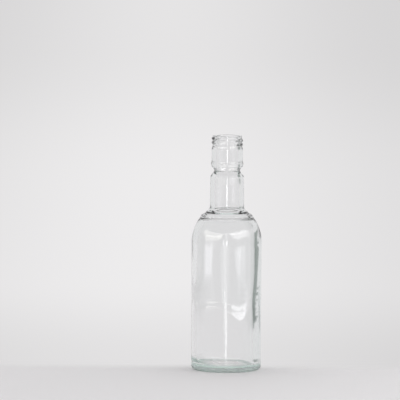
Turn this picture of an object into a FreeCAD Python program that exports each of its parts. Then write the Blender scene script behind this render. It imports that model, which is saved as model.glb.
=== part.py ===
"""Glass liquor bottle: a round body under a stepped shoulder, a straight neck and a screw finish.

Millimetres. The origin is the centre of the resting plane and +Z is up. The bottle is one solid of
glass: a revolved outside, a revolved cavity and a thread swept round the finish.
"""

import FreeCAD, Part
import math
import os

import Sketcher

# Driving sizes: alias, value, what it measures. Heights of the finish and shoulder are lengths that
# follow each other down from the mouth, so the plain body wall takes up what is left of the height.
SIZES = [
    ("overall_height", 214.0, "resting plane to the top of the mouth"),
    ("body_diameter", 64.0, "outside of the straight body"),
    ("heel_radius", 4.0, "rounding between the body wall and the resting plane"),
    ("bearing_width", 4.5, "width of the flat ring that the bottle stands on, inside the heel"),
    ("push_up", 3.0, "height of the hollow under the base"),
    ("bore_diameter", 20.4, "bore through the finish"),
    ("land_wall", 2.7, "glass between the bore and the land that carries the thread"),
    ("thread_land", 9.6, "height of that land"),
    ("skirt_slope", 2.3, "cone from the thread land out to the skirt"),
    ("skirt_length", 11.9, "plain band under the thread"),
    ("skirt_wall", 4.1, "glass between the bore and the plain band"),
    ("bead_height", 3.2, "locking bead that ends the skirt"),
    ("bead_bulge", 0.45, "how far the locking bead stands out from the skirt"),
    ("bead_foot", 1.0, "plain rest of the skirt under the bead"),
    ("groove_upper", 3.6, "upper side of the tamper groove"),
    ("groove_wall", 1.1, "glass between the bore and the bottom of the groove"),
    ("groove_lower", 5.5, "lower side of the tamper groove, down to the neck"),
    ("neck_top_wall", 5.1, "glass between the bore and the neck just under the groove"),
    ("neck_length", 28.2, "straight neck"),
    ("neck_base_wall", 5.4, "how far the neck stands out from the bore just above the flare"),
    ("flare_height", 3.7, "hollow curve from the neck out to the step"),
    ("flare_radius", 4.3, "radius of that curve"),
    ("flare_reach", 3.1, "how far that curve runs out from the neck to the step"),
    ("step_height", 1.2, "riser of the step"),
    ("step_batter", 0.6, "how far the riser leans out"),
    ("terrace_height", 2.6, "slope from the riser out to the shoulder ring"),
    ("terrace_reach", 4.2, "how far that slope runs out"),
    ("ring_height", 1.6, "face of the shoulder ring"),
    ("ring_batter", 0.6, "how far that face leans out, down to the round shoulder"),
    ("shoulder_radius", 37.0, "radius of the round shoulder, tangent to the body"),
    ("lip_radius", 0.9, "rounding of the mouth, outside and in"),
    ("edge_radius", 0.8, "rounding of the ring, the step and the skirt"),
    ("groove_radius", 1.6, "rounding of the groove and of the neck above it"),
    ("bore_length", 33.0, "straight bore, down from the mouth"),
    ("bore_taper", 12.0, "cone from the bore out to the neck's inside"),
    ("neck_bore_widening", 1.2, "how much wider the neck's inside is than the bore, on the radius"),
    ("throat_radius", 10.0, "rounding from the neck's inside to the shoulder's inside"),
    ("upper_wall", 4.8, "thick glass of the upper body and shoulder"),
    ("lower_wall", 1.9, "thin glass of the lower body"),
    ("settle_middle", 54.0, "middle of the band where the glass goes from thin to thick"),
    ("settle_height", 18.0, "height of that band"),
    ("floor_height", 7.2, "inside floor above the resting plane, at the axis"),
    ("floor_edge", 5.6, "inside floor where it would meet the wall"),
    ("floor_radius", 7.0, "rounding between the floor and the wall"),
    ("thread_depth", 1.55, "how far the thread stands out from its land"),
    ("thread_pitch", 3.75, "rise of the thread in one turn"),
    ("thread_low_end", 9.6, "middle of the thread below the mouth, at its low end"),
    ("thread_high_end", 1.9, "middle of the thread below the mouth, at its high end"),
    ("thread_start_angle", -153.0, "angle of the low end, anticlockwise from +X seen from above"),
    ("thread_flat_gap", 0.05, "height over the land at which each end of the thread stops"),
    ("thread_foot", 2.3, "width of the thread at the land"),
    ("thread_tip", 0.9, "width of the thread at its crest"),
    ("thread_root_overlap", 0.4, "how deep the swept thread reaches into the land"),
]

doc = FreeCAD.newDocument("glass_liquor_bottle")
sheet = doc.addObject("Spreadsheet::Sheet", "Sizes")
for row, (alias, size, meaning) in enumerate(SIZES, start=1):
    sheet.set(f"A{row}", alias)
    sheet.set(f"B{row}", str(size))
    sheet.setAlias(f"B{row}", alias)
    sheet.set(f"C{row}", meaning)
doc.recompute()

body = doc.addObject("PartDesign::Body", "bottle")
body.Label = "bottle"


def amount(expression):
    """The number that an expression over the sheet's sizes has now."""
    return float(sheet.evalExpression(expression))


def sketch_on(role, name):
    """A sketch on one of the body's origin planes."""
    sketch = body.newObject("Sketcher::SketchObject", name)
    plane = [item for item in body.Origin.OriginFeatures if item.Role == role][0]
    sketch.AttachmentSupport = [(plane, "")]
    sketch.MapMode = "FlatFace"
    return sketch


def axial_sketch(name):
    """A sketch through the axis: its x is a radius and its y a height."""
    return sketch_on("XZ_Plane", name)


def bind(sketch, constraint, expression):
    """Add a dimension to a sketch and tie it to the sheet."""
    sketch.setExpression(f"Constraints[{sketch.addConstraint(constraint)}]", expression)


def place_corner(sketch, edge, end, radius, height):
    """Dimension one end of an edge from the axis and from the resting plane."""
    if radius == "0":
        sketch.addConstraint(Sketcher.Constraint("PointOnObject", edge, end, -2))
    else:
        bind(sketch, Sketcher.Constraint("DistanceX", -1, 1, edge, end, amount(radius)), radius)
    if height == "0":
        sketch.addConstraint(Sketcher.Constraint("PointOnObject", edge, end, -1))
    else:
        bind(sketch, Sketcher.Constraint("DistanceY", -1, 1, edge, end, amount(height)), height)


def arc_through(start, finish, radius):
    """The short arc between two points. Its centre is left of the way from start to finish, or
    right of it when the radius is negative."""
    chord = finish - start
    middle = (start + finish) * 0.5
    to_left = FreeCAD.Vector(-chord.y, chord.x, 0).normalize()
    reach = math.sqrt(radius**2 - (chord.Length / 2) ** 2)
    centre = middle + to_left * math.copysign(reach, radius)
    crown = centre + (middle - centre).normalize() * abs(radius)
    return Part.Arc(start, crown, finish)


def closed_outline(sketch, corners):
    """Draw and dimension a closed outline.

    Each corner is (radius, height, bend) as expressions over the sheet. The edge that leads to the
    corner is straight, or an arc when bend is given, whose sign is that of arc_through.
    """
    points = [FreeCAD.Vector(amount(radius), amount(height), 0) for radius, height, bend in corners]
    ends = []
    for number, (radius, height, bend) in enumerate(corners):
        start, finish = points[number - 1], points[number]
        if bend is None:
            edge = sketch.addGeometry(Part.LineSegment(start, finish), False)
        else:
            edge = sketch.addGeometry(arc_through(start, finish, amount(bend)), False)
            size = bend.lstrip("-")
            bind(sketch, Sketcher.Constraint("Radius", edge, amount(size)), size)
        forwards = sketch.getPoint(edge, 1).distanceToPoint(start) < 1e-6
        ends.append((edge, 1, 2) if forwards else (edge, 2, 1))
    for number, (radius, height, bend) in enumerate(corners):
        edge, first, last = ends[number]
        next_edge, next_first, next_last = ends[(number + 1) % len(ends)]
        sketch.addConstraint(Sketcher.Constraint("Coincident", edge, last, next_edge, next_first))
        place_corner(sketch, edge, last, radius, height)


def turned(kind, name, sketch):
    """Turn a sketch once round the bottle's axis, to add (Revolution) or remove (Groove) glass."""
    feature = body.newObject(f"PartDesign::{kind}", name)
    feature.Profile = sketch
    feature.ReferenceAxis = (sketch, ["V_Axis"])
    feature.Angle = 360
    doc.recompute()
    return feature


def rounded(name, radius, rims):
    """Round the circular edges of the body at the given (radius, height) places."""
    base = body.Tip
    places = [(amount(across), amount(up)) for across, up in rims]
    edges = []
    for number, edge in enumerate(base.Shape.Edges, start=1):
        if not edge.Degenerated and isinstance(edge.Curve, Part.Circle):
            here = (edge.Curve.Radius, edge.Curve.Center.z)
            if any(math.dist(here, place) < 1e-4 for place in places):
                edges.append(f"Edge{number}")
    if len(edges) != len(rims):
        raise RuntimeError(f"{name}: found {len(edges)} of {len(rims)} edges")
    feature = body.newObject("PartDesign::Fillet", name)
    feature.Base = (base, edges)
    feature.setExpression("Radius", radius)
    doc.recompute()


# Heights of the outside, from the mouth down. Each is named after the stretch that ends at it.
level = {"mouth": "Sizes.overall_height"}
above = "mouth"
for stretch in (
    "thread_land", "skirt_slope", "skirt_length", "bead_height", "bead_foot", "groove_upper",
    "groove_lower", "neck_length", "flare_height", "step_height", "terrace_height", "ring_height",
):
    level[stretch] = f"{level[above]} - Sizes.{stretch}"
    above = stretch

# Radii, each built out from the bore or from the corner above it.
radius = {"bore": "Sizes.bore_diameter / 2", "body": "Sizes.body_diameter / 2"}
for corner, inner, step in (
    ("land", "bore", "land_wall"),
    ("crest", "land", "thread_depth"),
    ("skirt", "bore", "skirt_wall"),
    ("groove", "bore", "groove_wall"),
    ("neck_top", "bore", "neck_top_wall"),
    ("neck_base", "bore", "neck_base_wall"),
    ("neck_inside", "bore", "neck_bore_widening"),
    ("step_top", "neck_base", "flare_reach"),
    ("step_base", "step_top", "step_batter"),
    ("ring_top", "step_base", "terrace_reach"),
    ("ring_base", "ring_top", "ring_batter"),
):
    radius[corner] = f"{radius[inner]} + Sizes.{step}"

# The round shoulder is tangent to the body, so its drop follows from its radius.
SHOULDER_CENTRE = "(Sizes.body_diameter / 2 - Sizes.shoulder_radius)"
SHOULDER_DROP = f"sqrt(Sizes.shoulder_radius^2 - ({radius['ring_base']} - {SHOULDER_CENTRE})^2)"
level["shoulder"] = f"{level['ring_height']} - {SHOULDER_DROP}"

# Outside: one closed outline from the axis at the mouth down to the axis at the resting plane.
BEAD_BEND = "(Sizes.bead_height^2 / 4 + Sizes.bead_bulge^2) / (2 * Sizes.bead_bulge)"
outside = axial_sketch("outside_outline")
closed_outline(outside, [
    ("0", level["mouth"], None),
    (radius["land"], level["mouth"], None),
    (radius["land"], level["thread_land"], None),
    (radius["skirt"], level["skirt_slope"], None),
    (radius["skirt"], level["skirt_length"], None),
    (radius["skirt"], level["bead_height"], f"-{BEAD_BEND}"),
    (radius["skirt"], level["bead_foot"], None),
    (radius["groove"], level["groove_upper"], None),
    (radius["neck_top"], level["groove_lower"], None),
    (radius["neck_base"], level["neck_length"], None),
    (radius["step_top"], level["flare_height"], "Sizes.flare_radius"),
    (radius["step_base"], level["step_height"], None),
    (radius["ring_top"], level["terrace_height"], None),
    (radius["ring_base"], level["ring_height"], None),
    (radius["body"], level["shoulder"], "-Sizes.shoulder_radius"),
    (radius["body"], "0", None),
    ("0", "0", None),
])
turned("Revolution", "outside_form", outside)

rounded("heel", "Sizes.heel_radius", [(radius["body"], "0")])
rounded("shoulder_edges", "Sizes.edge_radius", [
    (radius["step_top"], level["flare_height"]),
    (radius["step_base"], level["step_height"]),
    (radius["ring_top"], level["terrace_height"]),
    (radius["ring_base"], level["ring_height"]),
])
rounded("groove_edges", "Sizes.groove_radius", [
    (radius["groove"], level["groove_upper"]),
    (radius["neck_top"], level["groove_lower"]),
])
rounded("skirt_edges", "Sizes.edge_radius", [
    (radius["skirt"], level["skirt_slope"]),
    (radius["land"], level["thread_land"]),
    (radius["skirt"], level["bead_foot"]),
])

# Push-up: a shallow dome under the base, inside the flat ring that the bottle stands on.
DOME_EDGE = f"{radius['body']} - Sizes.heel_radius - Sizes.bearing_width"
DOME_BEND = f"(({DOME_EDGE})^2 + Sizes.push_up^2) / (2 * Sizes.push_up)"
dome = axial_sketch("push_up_outline")
closed_outline(dome, [
    ("0", "0", None),
    (DOME_EDGE, "0", None),
    ("0", "Sizes.push_up", DOME_BEND),
])
turned("Groove", "push_up", dome)

# Cavity: straight bore, neck, a shoulder concentric with the outside's, the thick upper wall, the
# settle band (two equal arcs that bend back on each other) and the thin lower wall.
SETTLE_STEP = "(Sizes.upper_wall - Sizes.lower_wall)"
SETTLE_BEND = f"(Sizes.settle_height^2 + {SETTLE_STEP}^2) / (4 * {SETTLE_STEP})"
BORE_FOOT = f"{level['mouth']} - Sizes.bore_length"
UPPER_INSIDE = f"{radius['body']} - Sizes.upper_wall"
LOWER_INSIDE = f"{radius['body']} - Sizes.lower_wall"
INNER_SHOULDER = "(Sizes.shoulder_radius - Sizes.upper_wall)"
THROAT_RISE = f"sqrt({INNER_SHOULDER}^2 - ({radius['neck_inside']} - {SHOULDER_CENTRE})^2)"
THROAT = f"{level['shoulder']} + {THROAT_RISE}"
cavity = axial_sketch("cavity_outline")
closed_outline(cavity, [
    ("0", level["mouth"], None),
    (radius["bore"], level["mouth"], None),
    (radius["bore"], BORE_FOOT, None),
    (radius["neck_inside"], f"{BORE_FOOT} - Sizes.bore_taper", None),
    (radius["neck_inside"], THROAT, None),
    (UPPER_INSIDE, level["shoulder"], f"-{INNER_SHOULDER}"),
    (UPPER_INSIDE, "Sizes.settle_middle + Sizes.settle_height / 2", None),
    (f"({UPPER_INSIDE} + {LOWER_INSIDE}) / 2", "Sizes.settle_middle", SETTLE_BEND),
    (LOWER_INSIDE, "Sizes.settle_middle - Sizes.settle_height / 2", f"-{SETTLE_BEND}"),
    (LOWER_INSIDE, "Sizes.floor_edge", None),
    ("0", "Sizes.floor_height", None),
])
turned("Groove", "cavity", cavity)
rounded("inner_heel", "Sizes.floor_radius", [(LOWER_INSIDE, "Sizes.floor_edge")])
rounded("throat", "Sizes.throat_radius", [(radius["neck_inside"], THROAT)])
rounded("lip", "min(Sizes.lip_radius; Sizes.land_wall / 3)", [
    (radius["land"], level["mouth"]),
    (radius["bore"], level["mouth"]),
])


# Thread: one right-hand sweep of a section, over as many turns as the land has room for.
THREAD_TURNS = "(Sizes.thread_low_end - Sizes.thread_high_end) / Sizes.thread_pitch"
THREAD_START = f"{level['mouth']} - Sizes.thread_low_end"
BURIED = f"{radius['land']} - Sizes.thread_root_overlap"
section = axial_sketch("thread_section")
closed_outline(section, [
    (BURIED, f"{THREAD_START} - Sizes.thread_foot / 2", None),
    (radius["crest"], f"{THREAD_START} - Sizes.thread_tip / 2", None),
    (radius["crest"], f"{THREAD_START} + Sizes.thread_tip / 2", None),
    (BURIED, f"{THREAD_START} + Sizes.thread_foot / 2", None),
])
about_axis = FreeCAD.Rotation(FreeCAD.Vector(0, 1, 0), 1)
section.AttachmentOffset = FreeCAD.Placement(FreeCAD.Vector(), about_axis)
section.setExpression("AttachmentOffset.Rotation.Angle", "Sizes.thread_start_angle")
thread = body.newObject("PartDesign::AdditiveHelix", "thread")
thread.Profile = section
thread.ReferenceAxis = (section, ["V_Axis"])
thread.Mode = "pitch-turns-angle"
thread.setExpression("Pitch", "Sizes.thread_pitch")
thread.setExpression("Turns", THREAD_TURNS)
doc.recompute()


def thread_run_out(name, turns, side):
    """Slice one end of the thread along a flat just off the land, so that it fades out.

    turns is how far round the thread that end is, and side is 1 where the thread lies
    anticlockwise of its end, or -1 where it lies clockwise.
    """
    sketch = sketch_on("XY_Plane", f"{name}_outline")
    about_z = FreeCAD.Rotation(FreeCAD.Vector(0, 0, 1), 1)
    sketch.AttachmentOffset = FreeCAD.Placement(FreeCAD.Vector(), about_z)
    sketch.setExpression("AttachmentOffset.Base.z", f"{THREAD_START} + Sizes.thread_pitch * {turns}")
    sketch.setExpression("AttachmentOffset.Rotation.Angle", f"Sizes.thread_start_angle + 360 * {turns}")
    flat = f"{radius['land']} + Sizes.thread_flat_gap"
    beyond = f"{radius['crest']} + Sizes.thread_depth"
    reach = f"{side} * 1.2 * sqrt(({radius['crest']})^2 - ({radius['land']})^2)"
    past = f"{-side} * Sizes.thread_depth"
    closed_outline(sketch, [
        (flat, past, None), (beyond, past, None), (beyond, reach, None), (flat, reach, None),
    ])
    whole = body.Tip
    slice_off = body.newObject("PartDesign::Pocket", name)
    slice_off.Profile = sketch
    slice_off.SideType = "Symmetric"
    slice_off.setExpression("Length", "Sizes.thread_pitch")
    doc.recompute()
    if not slice_off.Shape.Volume < whole.Shape.Volume:
        raise RuntimeError(f"{name} cuts nothing")


thread_run_out("thread_lead_in", "0", 1)
thread_run_out("thread_run_out", THREAD_TURNS, -1)

failed = [item.Name for item in doc.Objects if {"Invalid", "Error"} & set(item.State)]
if failed:
    raise RuntimeError(f"objects that failed: {failed}")
solid = body.Shape
if solid.isNull() or not solid.isValid() or len(solid.Solids) != 1:
    raise RuntimeError("the bottle is not one valid solid")

os.makedirs("parts", exist_ok=True)
solid.exportStep(f"parts/{body.Label}.step")
print(f"{body.Label}: {solid.Volume / 1000:.1f} ml of glass, {solid.optimalBoundingBox(False)}")
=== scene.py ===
"""An empty glass liquor bottle on a pale floor. Metres, +Z up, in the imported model's own frame."""

import math

import bpy
import numpy as np
from mathutils import Matrix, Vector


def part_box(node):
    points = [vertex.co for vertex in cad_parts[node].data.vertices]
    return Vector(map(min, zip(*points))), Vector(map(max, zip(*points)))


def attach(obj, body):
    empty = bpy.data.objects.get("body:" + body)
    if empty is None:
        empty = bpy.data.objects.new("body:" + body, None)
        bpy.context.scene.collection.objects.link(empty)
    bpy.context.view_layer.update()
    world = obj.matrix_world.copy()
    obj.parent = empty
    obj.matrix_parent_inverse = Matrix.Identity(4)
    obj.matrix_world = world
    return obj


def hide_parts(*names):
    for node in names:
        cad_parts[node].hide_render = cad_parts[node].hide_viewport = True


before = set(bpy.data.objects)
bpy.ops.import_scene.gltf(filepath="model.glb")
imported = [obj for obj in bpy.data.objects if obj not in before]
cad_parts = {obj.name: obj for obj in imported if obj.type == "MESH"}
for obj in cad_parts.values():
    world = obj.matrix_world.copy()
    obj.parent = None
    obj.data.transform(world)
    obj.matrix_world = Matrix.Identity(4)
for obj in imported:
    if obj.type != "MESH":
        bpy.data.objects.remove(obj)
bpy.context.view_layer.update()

# ---------------------------------------------------------------------------------------------
# Bottle: clear glass blown in a mould, with a screw finish and a pushed-up base on a stippled ring.
# It stands for the CAD bottle, as one closed skin turned round the axis: from the middle of the base
# up the outside, over the lip, and down the uneven inside to the middle of the floor.
# ---------------------------------------------------------------------------------------------
MM = 0.001  # The sizes of the bottle are in millimetres.
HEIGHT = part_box("bottle")[1].z / MM
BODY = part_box("bottle")[1].x / MM

# Finish and neck: radii, distances below the mouth, and how far the bead stands out.
BORE, LAND, SKIRT, GROOVE = 10.2, 13.4, 14.3, 11.3
NECK_TOP, NECK_BASE, NECK_INSIDE = 15.3, 15.6, 11.4
LAND_END, SKIRT_START, BEAD_START, BEAD_END, SKIRT_END = 9.6, 11.9, 23.8, 27.0, 28.0
GROOVE_DROP, NECK_START, NECK_END, BORE_END, TAPER_END = 31.6, 37.1, 66.2, 33.0, 45.0
BEAD_BULGE = 0.45

# Shoulder: its small step and ring, its big rounding, and the slope, throat and ring of its inside.
STEP_TOP, STEP_FOOT, RING_TOP, RING_FOOT = 18.7, 19.3, 23.5, 24.1
STEP_TOP_DROP, STEP_FOOT_DROP, RING_TOP_DROP, RING_FOOT_DROP = 69.0, 70.2, 72.8, 74.4
SHOULDER, INNER_SLOPE = 37.0, math.radians(24.5)
THROAT_DROP, INNER_RING, INNER_RING_DROP = 68.6, 18.6, 73.6

# Wall and base: the thick wall, the width of the bearing ring, how high the underside is pushed up,
# and how high the floor of the inside lies in its middle and at its edge.
THICK_WALL, BEARING, PUSH_UP, FLOOR_MIDDLE, FLOOR_EDGE = 4.8, 4.5, 3.0, 4.4, 3.4

# Roundings of the corners.
EDGE_ROUND, STEP_ROUND, LIP_ROUND, HEEL = 0.8, 0.6, 0.9, 4.0
NECK_BASE_ROUND, NECK_TOP_ROUND, GROOVE_ROUND = 3.0, 1.6, 1.6
TAPER_ROUND, THROAT_ROUND, INNER_RING_ROUND, FLOOR_ROUND = 20.0, 5.0, 7.0, 4.0

# Fineness of the mesh: steps round the axis, points across the push-up and the bead, and spacing.
ROUND_STEPS, DOME_POINTS, BEAD_POINTS, BORE_SPACING = 192, 14, 13, 1.6

SHOULDER_TURN = math.acos((RING_FOOT - BODY + SHOULDER) / SHOULDER)
SHOULDER_START = HEIGHT - RING_FOOT_DROP - SHOULDER * math.sin(SHOULDER_TURN)


def rounded_path(corners):
    """Points along a line of corners, each given as (radius, height, rounding, spacing).

    A corner is replaced by an arc of its rounding that is tangent to both of its sides, and the
    side that leads to it gets points no further apart than about its spacing.
    """
    spots = np.array([corner[:2] for corner in corners], float)
    path = [spots[:1]]
    for i in range(1, len(corners)):
        rounding, spacing = corners[i][2:]
        arc = spots[i : i + 1]
        if rounding:
            back = (spots[i - 1] - spots[i]) / np.linalg.norm(spots[i - 1] - spots[i])
            ahead = (spots[i + 1] - spots[i]) / np.linalg.norm(spots[i + 1] - spots[i])
            half = math.acos(np.dot(back, ahead)) / 2
            centre = spots[i] + (back + ahead) / 2 / math.cos(half) * rounding / math.sin(half)
            start = spots[i] + back * rounding / math.tan(half)
            sweep = math.pi - 2 * half
            share = np.linspace(0, sweep, 3 + int(sweep * rounding / spacing))[:, None]
            arc = centre + np.cos(share) * (start - centre) - np.sin(share) * back * rounding
        last = path[-1][-1]
        steps = max(1, round(np.linalg.norm(arc[0] - last) / spacing))
        path.append(last + (arc[0] - last) * np.linspace(0, 1, steps + 1)[1:-1, None])
        path.append(arc)
    return np.concatenate(path)


def outside_path():
    """The outside, from the middle of the base out to the heel, up to the lip and into the bore. The
    push-up and the bead are parabolas, and the rest is straight sides with rounded corners."""
    dome = np.linspace(0, BODY - HEEL - BEARING, DOME_POINTS)
    under = np.stack([dome, PUSH_UP * (1 - (dome / dome[-1]) ** 2)], 1)
    low = rounded_path([
        # radius, height, rounding, spacing
        (dome[-1], 0, 0, 1),
        (BODY, 0, HEEL, 0.7),
        (BODY, SHOULDER_START + SHOULDER * math.tan(SHOULDER_TURN / 2), SHOULDER, 2.6),
        (RING_FOOT, HEIGHT - RING_FOOT_DROP, EDGE_ROUND, 0.5),
        (RING_TOP, HEIGHT - RING_TOP_DROP, EDGE_ROUND, 0.3),
        (STEP_FOOT, HEIGHT - STEP_FOOT_DROP, STEP_ROUND, 0.4),
        (STEP_TOP, HEIGHT - STEP_TOP_DROP, EDGE_ROUND, 0.3),
        (NECK_BASE, HEIGHT - NECK_END, NECK_BASE_ROUND, 0.5),
        (NECK_TOP, HEIGHT - NECK_START, NECK_TOP_ROUND, 0.8),
        (GROOVE, HEIGHT - GROOVE_DROP, GROOVE_ROUND, 0.4),
        (SKIRT, HEIGHT - SKIRT_END, EDGE_ROUND, 0.4),
        (SKIRT, HEIGHT - BEAD_END, 0, 0.5),
    ])
    share = np.linspace(-1, 1, BEAD_POINTS + 2)[1:-1]
    middle, reach = (BEAD_START + BEAD_END) / 2, (BEAD_END - BEAD_START) / 2
    bead = np.stack([SKIRT + BEAD_BULGE * (1 - share**2), HEIGHT - middle + reach * share], 1)
    top = rounded_path([
        # radius, height, rounding, spacing
        (SKIRT, HEIGHT - BEAD_START, 0, 0.5),
        (SKIRT, HEIGHT - SKIRT_START, EDGE_ROUND, 0.8),
        (LAND, HEIGHT - LAND_END, EDGE_ROUND, 0.25),
        (LAND, HEIGHT, LIP_ROUND, 0.2),
        (BORE, HEIGHT, LIP_ROUND, 0.3),
        (BORE, HEIGHT - BORE_END / 2, 0, BORE_SPACING),
    ])
    return np.concatenate([under, low[1:], bead, top])


def inside_path():
    """The inside, from half way down the bore to the middle of the floor, as straight sides with
    rounded corners, and as if the wall were the thick one from shoulder to floor."""
    wall = BODY - THICK_WALL
    shoulder = SHOULDER - THICK_WALL
    return rounded_path([
        # radius, height, rounding, spacing
        (BORE, HEIGHT - BORE_END / 2 - BORE_SPACING, 0, BORE_SPACING),
        (BORE, HEIGHT - BORE_END, TAPER_ROUND, BORE_SPACING),
        (NECK_INSIDE, HEIGHT - TAPER_END, TAPER_ROUND, 1.4),
        (NECK_INSIDE, HEIGHT - THROAT_DROP, THROAT_ROUND, 1.0),
        (INNER_RING, HEIGHT - INNER_RING_DROP, INNER_RING_ROUND, 0.5),
        (wall, SHOULDER_START + shoulder * math.tan(INNER_SLOPE / 2), shoulder, 1.3),
        (wall, FLOOR_EDGE, FLOOR_ROUND, 1.2),
        (0, FLOOR_MIDDLE, 0, 1.8),
    ])


def smooth_step(low, high, value):
    """0 below low, 1 above high, and 3 share^2 - 2 share^3 of the way between."""
    share = np.clip((value - low) / (high - low), 0, 1)
    return share * share * (3 - 2 * share)


def plateau(rise, fall, value):
    """0 before the rise and after the fall, 1 between them, and a smooth step across each."""
    return smooth_step(*rise, value) * (1 - smooth_step(*fall, value))


def bell(middle, reach, value):
    """exp(-x^2), where x is the distance from the middle in reaches: 1 there, and 0.37 a reach off."""
    return np.exp(-(((value - middle) / reach) ** 2))


# Thread: one start, right-hand, between two distances below the mouth. Each end fades over 35 degrees.
PITCH, THREAD_LOW, THREAD_HIGH = 3.75, 9.6, 1.9
THREAD_START, THREAD_FADE = math.radians(-153), math.radians(35)
THREAD_DEPTH, THREAD_FOOT, THREAD_TIP = 1.0, 3.5, 0.2


def thread_height(turn, height):
    """How far the thread stands out: a rounded ridge across the helix of height = rise x turn, with a
    wide foot on the land and a narrow tip, which sinks into the land at each end."""
    low = HEIGHT - THREAD_LOW
    rise = PITCH / (2 * math.pi)
    wraps = np.round((height - low) / PITCH - (turn - THREAD_START) / (2 * math.pi))
    along = turn - THREAD_START + 2 * math.pi * wraps
    off = np.abs(height - low - rise * along)
    length = (THREAD_LOW - THREAD_HIGH) / rise
    fade = smooth_step(0, THREAD_FADE, along) * smooth_step(0, THREAD_FADE, length - along)
    flank = 1 - smooth_step(THREAD_TIP / 2, THREAD_FOOT / 2, off)
    return THREAD_DEPTH * flank * fade


# The line where the glass settled: turns round the axis in degrees from +X, and its heights there.
SETTLE_LINE = (
    (-180, 80), (-163, 66), (-148, 58.5), (-116, 62.5), (-92, 60), (-64, 54), (-38, 63), (-18, 60),
    (0, 50), (18, 58), (60, 66), (120, 58), (180, 80),
)

# The hollow, above and below that line: how far it lies out from the thick wall and how far to the
# left, and over what heights below and above the line it changes from the one to the other.
UPPER_OUT, UPPER_LEFT, LOWER_OUT, LOWER_LEFT = -0.7, 1.1, 0.55, 1.5
CHANGE_BELOW, CHANGE_ABOVE = 22, 30

# A small fold along the line, on the front alone. It is deeper and wider where the glass slumped, at
# the front right, and wider on the left. Turns are in degrees from +X.
FOLD_DEPTH, FOLD_WIDTH, FOLD_SOFTNESS = 1.6, 7.0, 0.2
FOLD_LEFT_END, FOLD_RIGHT_END = (-178, -140), (-60, -42)
SLUMP_TURN, SLUMP_REACH, SLUMP_DEPTH, SLUMP_WIDTH = -62, 20, 1.4, 7.0
FOLD_LEFT_REACH, FOLD_LEFT_WIDTH = 25, 8.0

# Smaller waves: two flutes and four up the thick wall, a hollow at the front right below the line, a
# bulge into the hollow on the right and ripples, both at about the height of the line.
TWO_FLUTES, FOUR_FLUTES = 0.5, 0.2
FRONT_TURN, FRONT_REACH, FRONT_DEPTH = -70, 35, 0.9
BULGE_DEPTH, BULGE_REACH, BULGE_HEIGHT, BULGE_RISE = 0.4, 40, 64, 12
RIPPLE_DEPTH, RIPPLE_LENGTH, RIPPLE_HEIGHT, RIPPLE_RISE = 0.02, 5.5, 62, 14

# The unevenness fades in above the floor's edge and out round the start of the shoulder.
FLOOR_FADE = (FLOOR_EDGE, FLOOR_EDGE + 9.0)
SHOULDER_FADE = (SHOULDER_START - 4.0, SHOULDER_START + 16.0)


def signed_degrees(turn):
    """The turn in degrees from +X, from -180 up to 180."""
    return (np.degrees(turn) + 180) % 360 - 180


def settle_height(turn):
    """Height of the settle line: a smooth step from each named spot of it to the next."""
    spots, heights = np.array(SETTLE_LINE, float).T
    degrees = signed_degrees(turn)
    i = np.clip(np.searchsorted(spots, degrees, "right") - 1, 0, len(spots) - 2)
    return heights[i] + (heights[i + 1] - heights[i]) * smooth_step(spots[i], spots[i + 1], degrees)


def inner_wall_shift(turn, height):
    """How far the inside lies out from the plain thick wall: out - left x cos(turn) and waves, for the
    wall above the settle line and for the wall below it, with a slow smooth step from the one to the
    other. In front, the fold's part of that change is a short ramp instead, with slightly eased ends."""
    degrees = signed_degrees(turn)
    settle = settle_height(turn)
    slump = bell(SLUMP_TURN, SLUMP_REACH, degrees)
    left = bell(180, FOLD_LEFT_REACH, np.abs(degrees))
    half_width = (FOLD_WIDTH + SLUMP_WIDTH * slump + FOLD_LEFT_WIDTH * left) / 2
    fold = (FOLD_DEPTH + SLUMP_DEPTH * slump) * plateau(FOLD_LEFT_END, FOLD_RIGHT_END, degrees)
    ramp = np.clip((settle + half_width - height) / half_width / 2, 0, 1)
    eased = 1 - smooth_step(settle - half_width, settle + half_width, height)
    ramp = ramp + FOLD_SOFTNESS * (eased - ramp)
    below = 1 - smooth_step(settle - CHANGE_BELOW, settle + CHANGE_ABOVE, height)
    flutes = TWO_FLUTES * np.sin(2 * turn) - FOUR_FLUTES * np.sin(4 * turn)
    upper_wall = UPPER_OUT - UPPER_LEFT * np.cos(turn) + flutes
    front = FRONT_DEPTH * bell(FRONT_TURN, FRONT_REACH, degrees)
    lower_wall = LOWER_OUT - LOWER_LEFT * np.cos(turn) + front
    bulge = BULGE_DEPTH * bell(0, BULGE_REACH, degrees) * bell(BULGE_HEIGHT, BULGE_RISE, height)
    waves = np.cos(height * 2 * math.pi / RIPPLE_LENGTH)
    ripples = RIPPLE_DEPTH * waves * bell(RIPPLE_HEIGHT, RIPPLE_RISE, height)
    change = (lower_wall - upper_wall - fold) * below + fold * ramp
    return plateau(FLOOR_FADE, SHOULDER_FADE, height) * (upper_wall + change - bulge + ripples)


# The thread stands on what lies within this margin of the land, and the inside's shift fades out over
# this width at the edge of the floor.
LAND_MARGIN, SHIFT_FADE = 0.5, 8.0


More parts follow.
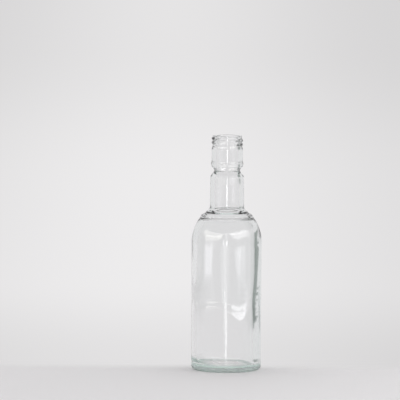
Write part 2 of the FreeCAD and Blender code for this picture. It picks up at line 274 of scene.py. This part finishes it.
def bottle_skin():
    """Vertices and faces of the closed skin. Each point of the path but its two ends is a row round the
    axis, at radius x cos(turn), radius x sin(turn) and height, and fans close the skin at the ends.
    The land's rows go out with the thread, and the rows of the inside by its shift."""
    outside, inside = outside_path(), inside_path()
    path = np.concatenate([outside, inside])
    turns = np.arange(ROUND_STEPS) * 2 * math.pi / ROUND_STEPS
    radius, turn = np.meshgrid(path[1:-1, 0], turns, indexing="ij")
    height = np.repeat(path[1:-1, 1:], ROUND_STEPS, 1)
    is_inside = (np.arange(len(height)) >= len(outside) - 1)[:, None]
    on_land = ~is_inside & (height > HEIGHT - SKIRT_START) & (radius > LAND - LAND_MARGIN)
    radius = np.where(on_land, np.maximum(radius, LAND + thread_height(turn, height)), radius)
    wall = BODY - THICK_WALL
    shift = inner_wall_shift(turn, height) * smooth_step(wall - SHIFT_FADE, wall, radius)
    radius = np.where(is_inside, radius + shift, radius)
    rows = np.stack([radius * np.cos(turn), radius * np.sin(turn), height], 2)
    points = np.concatenate([[[0, 0, path[0, 1]]], rows.reshape(-1, 3), [[0, 0, path[-1, 1]]]]) * MM
    here = np.arange(ROUND_STEPS)
    after = (here + 1) % ROUND_STEPS
    low = 1 + np.arange(len(height) - 1)[:, None] * ROUND_STEPS
    high = low + ROUND_STEPS
    quads = np.stack([low + here, low + after, high + after, high + here], 2).reshape(-1, 4)
    base_fan = np.stack([np.zeros_like(here), 1 + after, 1 + here], 1)
    end = np.full_like(here, len(points) - 1)
    floor_fan = np.stack([high[-1] + here, high[-1] + after, end], 1)
    return points, quads.tolist() + base_fan.tolist() + floor_fan.tolist()


points, faces = bottle_skin()
skin = bpy.data.meshes.new("bottle_glass")
skin.from_pydata(points.tolist(), [], faces)
skin.shade_smooth()
glass_piece = bpy.data.objects.new("bottle_glass", skin)
bpy.context.scene.collection.objects.link(glass_piece)

# The glass: its surface colour, with painted shade that makes it darker and greener at its foot, the
# green of its depth, how far it bends light, and the rough stipple of its base. Heights are in metres.
CLEAR, FOOT_SHADE_GREEN, DEPTH_GREEN = (0.958, 0.952, 0.954), (0.58, 0.74, 0.68), (0.53, 0.77, 0.70)
DEPTH_STRENGTH, BEND = 9.0, 1.52
FOOT_SHADE_TOP = 0.0018
STIPPLE_HEIGHTS, STIPPLE_ROUGHNESS = (0.0028, 0.0045), (0.8, 0.03)


def object_place(tree):
    """The X, Y and Z of each spot in the piece's own frame."""
    place = tree.nodes.new("ShaderNodeTexCoord")
    split = tree.nodes.new("ShaderNodeSeparateXYZ")
    tree.links.new(place.outputs["Object"], split.inputs[0])
    return split.outputs


def graded(tree, source, span, levels, passage="LINEAR"):
    """The first level up to the start of the span of the source, the second one from its end, and a
    straight or smooth passage between them."""
    grade = tree.nodes.new("ShaderNodeMapRange")
    grade.interpolation_type = passage
    for socket, value in zip(("From Min", "From Max", "To Min", "To Max"), (*span, *levels)):
        grade.inputs[socket].default_value = value
    tree.links.new(source, grade.inputs["Value"])
    return grade.outputs["Result"]


glass = bpy.data.materials.new("clear_glass")
glass.use_nodes = True
tree = glass.node_tree
shader = tree.nodes["Principled BSDF"]
shader.inputs["Transmission Weight"].default_value = 1.0
shader.inputs["IOR"].default_value = BEND
above = object_place(tree)["Z"]
# Painted shade: the surface colour is a darker green at the foot, fading to clear above the foot shade's
# top.
tint = tree.nodes.new("ShaderNodeMapRange")
tint.data_type = "FLOAT_VECTOR"
# Inputs 7 to 10 are From Min, From Max, To Min and To Max, with a value for each colour channel.
for socket, value in zip((7, 8, 9, 10), ((0.0,) * 3, (FOOT_SHADE_TOP,) * 3, FOOT_SHADE_GREEN, CLEAR)):
    tint.inputs[socket].default_value = value
tree.links.new(above, tint.inputs["Vector"])
tree.links.new(tint.outputs["Vector"], shader.inputs["Base Color"])
roughness = graded(tree, above, STIPPLE_HEIGHTS, STIPPLE_ROUGHNESS)
tree.links.new(roughness, shader.inputs["Roughness"])
depth = tree.nodes.new("ShaderNodeVolumeAbsorption")
depth.inputs["Color"].default_value = (*DEPTH_GREEN, 1)
depth.inputs["Density"].default_value = DEPTH_STRENGTH
tree.links.new(depth.outputs["Volume"], tree.nodes["Material Output"].inputs["Volume"])
skin.materials.append(glass)
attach(glass_piece, "root")
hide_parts("bottle")

# ---------------------------------------------------------------------------------------------
# Floor: a wide sheet of pale matt board, which fades behind the bottle into a glow that is dimmer
# close behind the bottle, far behind it and to both sides. The glass bends light from the room alone,
# so the board isn't seen through it.
# ---------------------------------------------------------------------------------------------
FLOOR_HALF, FADE = 20.0, (-0.012, 0.036)
BOARD, BOARD_ROUGHNESS, BACKDROP = (0.785, 0.78, 0.78), 0.8, (0.848, 0.838, 0.843)
BRIGHTEST_X = -0.07
NEAR_BEHIND, NEAR_LEVELS = (0.0, 0.7), (0.895, 1.0)
FAR_BEHIND, FAR_LEVELS = (1.6, 3.6), (1.0, 0.925)
ASIDE, ASIDE_LEVELS = (0.0, 0.36), (1.0, 0.87)

floor_mesh = bpy.data.meshes.new("floor")
corners = [(x * FLOOR_HALF, y * FLOOR_HALF, 0) for x, y in ((-1, -1), (1, -1), (1, 1), (-1, 1))]
floor_mesh.from_pydata(corners, [], [(0, 1, 2, 3)])
floor = bpy.data.objects.new("floor", floor_mesh)
bpy.context.scene.collection.objects.link(floor)
floor.visible_glossy = False
floor.visible_transmission = False


def worked(tree, operation, *values):
    """The result of a sum on numbers and on what other nodes give."""
    sum_node = tree.nodes.new("ShaderNodeMath")
    sum_node.operation = operation
    for socket, value in zip(sum_node.inputs, values):
        if isinstance(value, bpy.types.NodeSocket):
            tree.links.new(value, socket)
        else:
            socket.default_value = value
    return sum_node.outputs[0]


floor_look = bpy.data.materials.new("floor_look")
floor_look.use_nodes = True
tree = floor_look.node_tree
board = tree.nodes["Principled BSDF"]
board.inputs["Base Color"].default_value = (*BOARD, 1)
board.inputs["Roughness"].default_value = BOARD_ROUGHNESS
place = object_place(tree)
aside = worked(tree, "ABSOLUTE", worked(tree, "SUBTRACT", place["X"], BRIGHTEST_X))
near = graded(tree, place["Y"], NEAR_BEHIND, NEAR_LEVELS, "SMOOTHSTEP")
far = graded(tree, place["Y"], FAR_BEHIND, FAR_LEVELS, "SMOOTHSTEP")
sides = graded(tree, aside, ASIDE, ASIDE_LEVELS, "SMOOTHSTEP")
glow = tree.nodes.new("ShaderNodeEmission")
glow.inputs["Color"].default_value = (*BACKDROP, 1)
level = worked(tree, "MULTIPLY", worked(tree, "MULTIPLY", near, far), sides)
tree.links.new(level, glow.inputs["Strength"])
blend = tree.nodes.new("ShaderNodeMixShader")
tree.links.new(graded(tree, place["Y"], FADE, (0.0, 1.0), "SMOOTHSTEP"), blend.inputs["Fac"])
tree.links.new(board.outputs["BSDF"], blend.inputs[1])
tree.links.new(glow.outputs["Emission"], blend.inputs[2])
tree.links.new(blend.outputs["Shader"], tree.nodes["Material Output"].inputs["Surface"])
floor_mesh.materials.append(floor_look)

# ---------------------------------------------------------------------------------------------
# Room: an even pale glow all round, and curved panels of light that stand upright on circles round
# the bottle: a strip, two sheets, two windows, a lintel and a card. The camera doesn't see them. The
# low ones show only in reflections, so that the glass is clear from every side.
# ---------------------------------------------------------------------------------------------
ROOM, WHITE = (0.80, 0.79, 0.80), (1.0, 1.0, 1.0)
PANEL_STEP = math.radians(1)

world = bpy.data.worlds.new("room")
world.use_nodes = True
bpy.context.scene.world = world
world.node_tree.nodes["Background"].inputs["Color"].default_value = (*ROOM, 1)
world.node_tree.nodes["Background"].inputs["Strength"].default_value = 1.0


def curved_panel(name, away, sides, rise, tone):
    """A panel at away x sin(turn), away x cos(turn) and height, between two turns and two heights.
    Turns are in degrees: 0 is behind the bottle, 90 right of it, 180 in front and 270 left of it.
    Tone gives a colour for each turn and height, which the panel gives off as light."""
    left, right = np.radians(sides)
    turns = np.linspace(left, right, 2 + int((right - left) / PANEL_STEP))
    levels = np.linspace(rise[0], rise[1], 2 + int((rise[1] - rise[0]) / PANEL_STEP / away))
    turn, height = np.meshgrid(turns, levels)
    spots = np.stack([away * np.sin(turn), away * np.cos(turn), height], 2)
    columns = len(turns)
    start = (np.arange(len(levels) - 1)[:, None] * columns + np.arange(columns - 1)[None, :]).ravel()
    quads = np.stack([start, start + columns, start + columns + 1, start + 1], 1)
    mesh = bpy.data.meshes.new(name)
    mesh.from_pydata(spots.reshape(-1, 3).tolist(), [], quads.tolist())
    paint = mesh.color_attributes.new("tone", "FLOAT_COLOR", "POINT")
    colours = np.ones((turn.size, 4))
    colours[:, :3] = tone(np.degrees(turn), height).reshape(-1, 3)
    paint.data.foreach_set("color", colours.ravel())
    panel = bpy.data.objects.new(name, mesh)
    panel.visible_camera = False
    panel.visible_diffuse = False
    panel.visible_shadow = False
    bpy.context.scene.collection.objects.link(panel)
    look = bpy.data.materials.new(name + "_look")
    look.use_nodes = True
    tree = look.node_tree
    tree.nodes.remove(tree.nodes["Principled BSDF"])
    colour = tree.nodes.new("ShaderNodeAttribute")
    colour.attribute_name = "tone"
    shine = tree.nodes.new("ShaderNodeEmission")
    tree.links.new(colour.outputs["Color"], shine.inputs["Color"])
    tree.links.new(shine.outputs["Emission"], tree.nodes["Material Output"].inputs["Surface"])
    mesh.materials.append(look)
    return panel


def show_in_reflections(panel):
    """Makes a panel clear, except in light that glass has reflected on its way."""
    tree = panel.data.materials[0].node_tree
    path = tree.nodes.new("ShaderNodeLightPath")
    clear = tree.nodes.new("ShaderNodeBsdfTransparent")
    blend = tree.nodes.new("ShaderNodeMixShader")
    tree.links.new(path.outputs["Glossy Depth"], blend.inputs["Fac"])
    tree.links.new(clear.outputs["BSDF"], blend.inputs[1])
    tree.links.new(tree.nodes["Emission"].outputs["Emission"], blend.inputs[2])
    tree.links.new(blend.outputs["Shader"], tree.nodes["Material Output"].inputs["Surface"])


def tinted(shine, tint, ground=(0.0, 0.0, 0.0)):
    """The ground colour plus shine x tint, at each spot."""
    return np.array(ground) + np.multiply.outer(shine, tint)


# Strip: straight in front, and as bright as the room but for a narrow line of light. That line gets
# brighter with height, and in the gap it gives way to a wide soft one.
ROOM_SHINE = 0.8
STRIP_TURN, STRIP_NARROW, STRIP_WIDE = 180, (1.6, 3.2), (6.0, 11.0)
STRIP_GAP_FOOT, STRIP_GAP_TOP = (-0.012, 0.004), (0.055, 0.075)
NARROW_SHINE, HIGHER_SHINE, HIGHER, WIDE_SHINE = 3.0, 4.0, (0.05, 0.07), 1.0
STRIP_TINT = (1.0, 1.0, 1.01)


def strip_tone(turn, height):
    """Smooth steps across the turn's distance from the middle make the narrow line and the wide one,
    and a plateau over the height makes the gap."""
    off = np.abs(turn - STRIP_TURN)
    gap = plateau(STRIP_GAP_FOOT, STRIP_GAP_TOP, height)
    bright = NARROW_SHINE + HIGHER_SHINE * smooth_step(*HIGHER, height)
    narrow = bright * (1 - smooth_step(*STRIP_NARROW, off))
    wide = WIDE_SHINE * (1 - smooth_step(*STRIP_WIDE, off))
    return tinted(ROOM_SHINE + wide * gap + narrow * (1 - gap), STRIP_TINT)


# Sheets: two soft sheets of light, low on the left and on the right, dimmed above the top. Each has
# two soft sides, and a soft foot that is lowest at one turn and slopes up from there.
SHEET_TOP, SHEET_DIMMED = (0.055, 0.08), 0.75
LEFT_SHEET_SIDES, LEFT_FOOT_TURN = ((223, 231), (254, 262)), 243
LEFT_FOOT, LEFT_FOOT_SLOPE, LEFT_FOOT_SOFTNESS = 0.001, 0.0002, 0.010
LEFT_SHEET_SHINE, LEFT_SHEET_TINT = 1.8, (0.98, 0.97, 1.03)
RIGHT_SHEET_SIDES, RIGHT_FOOT_TURN = ((113, 119), (134, 140)), 113
RIGHT_FOOT, RIGHT_FOOT_SLOPE, RIGHT_FOOT_SOFTNESS = 0.0045, 0.00084, 0.008
RIGHT_SHEET_SHINE = 0.9


def sheet_light(turn, height, sides, foot, softness):
    """1 between the sides and above the foot, and less above the top, with smooth steps between."""
    lit = plateau(*sides, turn) * smooth_step(foot, foot + softness, height)
    return lit * (1 - SHEET_DIMMED * smooth_step(*SHEET_TOP, height))


def left_sheet_tone(turn, height):
    """Cool white over the room's tone, above a foot that rises on both sides of its lowest turn."""
    foot = LEFT_FOOT + LEFT_FOOT_SLOPE * np.abs(turn - LEFT_FOOT_TURN)
    light = sheet_light(turn, height, LEFT_SHEET_SIDES, foot, LEFT_FOOT_SOFTNESS)
    return tinted(LEFT_SHEET_SHINE * light, LEFT_SHEET_TINT, ROOM)


def right_sheet_tone(turn, height):
    """Dimmer white over the room's tone, above a foot that rises towards the front."""
    foot = RIGHT_FOOT + RIGHT_FOOT_SLOPE * (turn - RIGHT_FOOT_TURN)
    light = sheet_light(turn, height, RIGHT_SHEET_SIDES, foot, RIGHT_FOOT_SOFTNESS)
    return tinted(RIGHT_SHEET_SHINE * light, WHITE, ROOM)


# Windows: one high on the left and one high on the right, which is brighter between its soft sides,
# and a lintel of even white across their tops. Both windows grow over the sill from the room's light.
SILL = (0.30, 0.50)
LEFT_WINDOW_SHINE, LEFT_WINDOW_TINT = 2.6, (1.0, 0.995, 0.94)
RIGHT_WINDOW_SHINE, RIGHT_WINDOW_TINT = 1.6, (1.0, 0.985, 1.0)
RIGHT_WINDOW_SIDES, BETWEEN_SIDES_SHINE = ((92, 118), (154, 165)), 2.2
LINTEL_SHINE = 4.8


def left_window_tone(turn, height):
    """Warm white, by a smooth step up from the sill."""
    return tinted(ROOM_SHINE + LEFT_WINDOW_SHINE * smooth_step(*SILL, height), LEFT_WINDOW_TINT)


def right_window_tone(turn, height):
    """Cool white, by a smooth step up from the sill, and more of it between the sides."""
    shine = RIGHT_WINDOW_SHINE + BETWEEN_SIDES_SHINE * plateau(*RIGHT_WINDOW_SIDES, turn)
    return tinted(ROOM_SHINE + shine * smooth_step(*SILL, height), RIGHT_WINDOW_TINT)


def lintel_tone(turn, height):
    """The same white all over."""
    return tinted(np.full(height.shape, LINTEL_SHINE), WHITE)


# Card: behind the bottle, and as pale as the room but for a dark green grey low on the right. The
# dark's edge lies further right lower down, except at a notch. The card is also dark at the right of
# the finish, and a little lighter low on the left.
DARK_FOOT, DARK_TOP, LOW_DARK = (0.0, 0.008), (0.095, 0.115), 0.52
DARK_EDGE, DARK_EDGE_SOFTNESS = 22, 12
LOW_EDGE_SHIFT, LOW_EDGE_HEIGHTS = 14, (0.045, 0.085)
FOOT_EDGE_SHIFT, FOOT_EDGE_HEIGHTS = 8, (0.016, 0.026)
NOTCH, NOTCH_HEIGHT, NOTCH_REACH = 32, 0.034, 0.005
FINISH_DARK, FINISH_HEIGHTS, FINISH_TURNS = 0.45, (0.19, 0.21), (34, 50)
LEFT_LIGHT, LEFT_LIGHT_HEIGHTS, LEFT_LIGHT_TURNS = 0.05, (0.02, 0.04), (20, 32)
CARD_TINT = (-1.0, -0.92, -0.97)


def card_tone(turn, height):
    """The room's tone less the dark, which is made of smooth steps across the turn and the height."""
    edge = DARK_EDGE + LOW_EDGE_SHIFT * (1 - smooth_step(*LOW_EDGE_HEIGHTS, height))
    edge = edge + FOOT_EDGE_SHIFT * (1 - smooth_step(*FOOT_EDGE_HEIGHTS, height))
    edge = edge - NOTCH * bell(NOTCH_HEIGHT, NOTCH_REACH, height)
    right = LOW_DARK * smooth_step(edge, edge + DARK_EDGE_SOFTNESS, turn)
    right = right * plateau(DARK_FOOT, DARK_TOP, height)
    finish = FINISH_DARK * smooth_step(*FINISH_HEIGHTS, height) * smooth_step(*FINISH_TURNS, turn)
    left = LEFT_LIGHT * smooth_step(*LEFT_LIGHT_TURNS, -turn)
    left = left * plateau(LEFT_LIGHT_HEIGHTS, DARK_TOP, height)
    return tinted(right + finish - left, CARD_TINT, ROOM)


# The card isn't mirrored by the outside of the glass, and the right window also lights the floor.
CARD_AWAY, SHEETS_AWAY, WINDOWS_AWAY = 0.3, 0.7, 1.2
SHEET_RISE, WINDOW_RISE = (0, 0.25), (0.29, 0.70)
strip = curved_panel("strip", SHEETS_AWAY, (168, 192), (-0.1, 0.2), strip_tone)
left_sheet = curved_panel("left_sheet", SHEETS_AWAY, (222, 263), SHEET_RISE, left_sheet_tone)
right_sheet = curved_panel("right_sheet", SHEETS_AWAY, (112, 141), SHEET_RISE, right_sheet_tone)
left_window = curved_panel("left_window", WINDOWS_AWAY, (195, 268), WINDOW_RISE, left_window_tone)
right_window = curved_panel("right_window", WINDOWS_AWAY, (92, 165), WINDOW_RISE, right_window_tone)
lintel = curved_panel("lintel", WINDOWS_AWAY, (100, 262), (0.69, 0.73), lintel_tone)
card = curved_panel("card", CARD_AWAY, (-85, 85), (-0.05, 0.5), card_tone)
for panel in (strip, left_sheet, right_sheet, card):
    show_in_reflections(panel)
card.visible_glossy = False
right_window.visible_diffuse = True

# ---------------------------------------------------------------------------------------------
# Camera: a long lens, far away and a little above the bottle, that looks slightly down, leans a
# little, and is centred on a place left of the bottle.
# ---------------------------------------------------------------------------------------------
CAMERA_AWAY, VIEW_WIDTH, VIEW_CENTRE = 6.0, 0.365, (-0.0246, 0.0, 0.155)
CAMERA_TILT, CAMERA_LEAN = math.radians(6), math.radians(0.33)

lens = bpy.data.cameras.new("camera")
lens.lens = lens.sensor_width * CAMERA_AWAY / VIEW_WIDTH
camera = bpy.data.objects.new("camera", lens)
bpy.context.scene.collection.objects.link(camera)
camera.location = (
    VIEW_CENTRE[0],
    VIEW_CENTRE[1] - CAMERA_AWAY * math.cos(CAMERA_TILT),
    VIEW_CENTRE[2] + CAMERA_AWAY * math.sin(CAMERA_TILT),
)
lean = Matrix.Rotation(math.pi / 2 - CAMERA_TILT, 3, "X") @ Matrix.Rotation(CAMERA_LEAN, 3, "Z")
camera.rotation_euler = lean.to_euler()
bpy.context.scene.camera = camera
bpy.context.scene.view_settings.view_transform = "Standard"
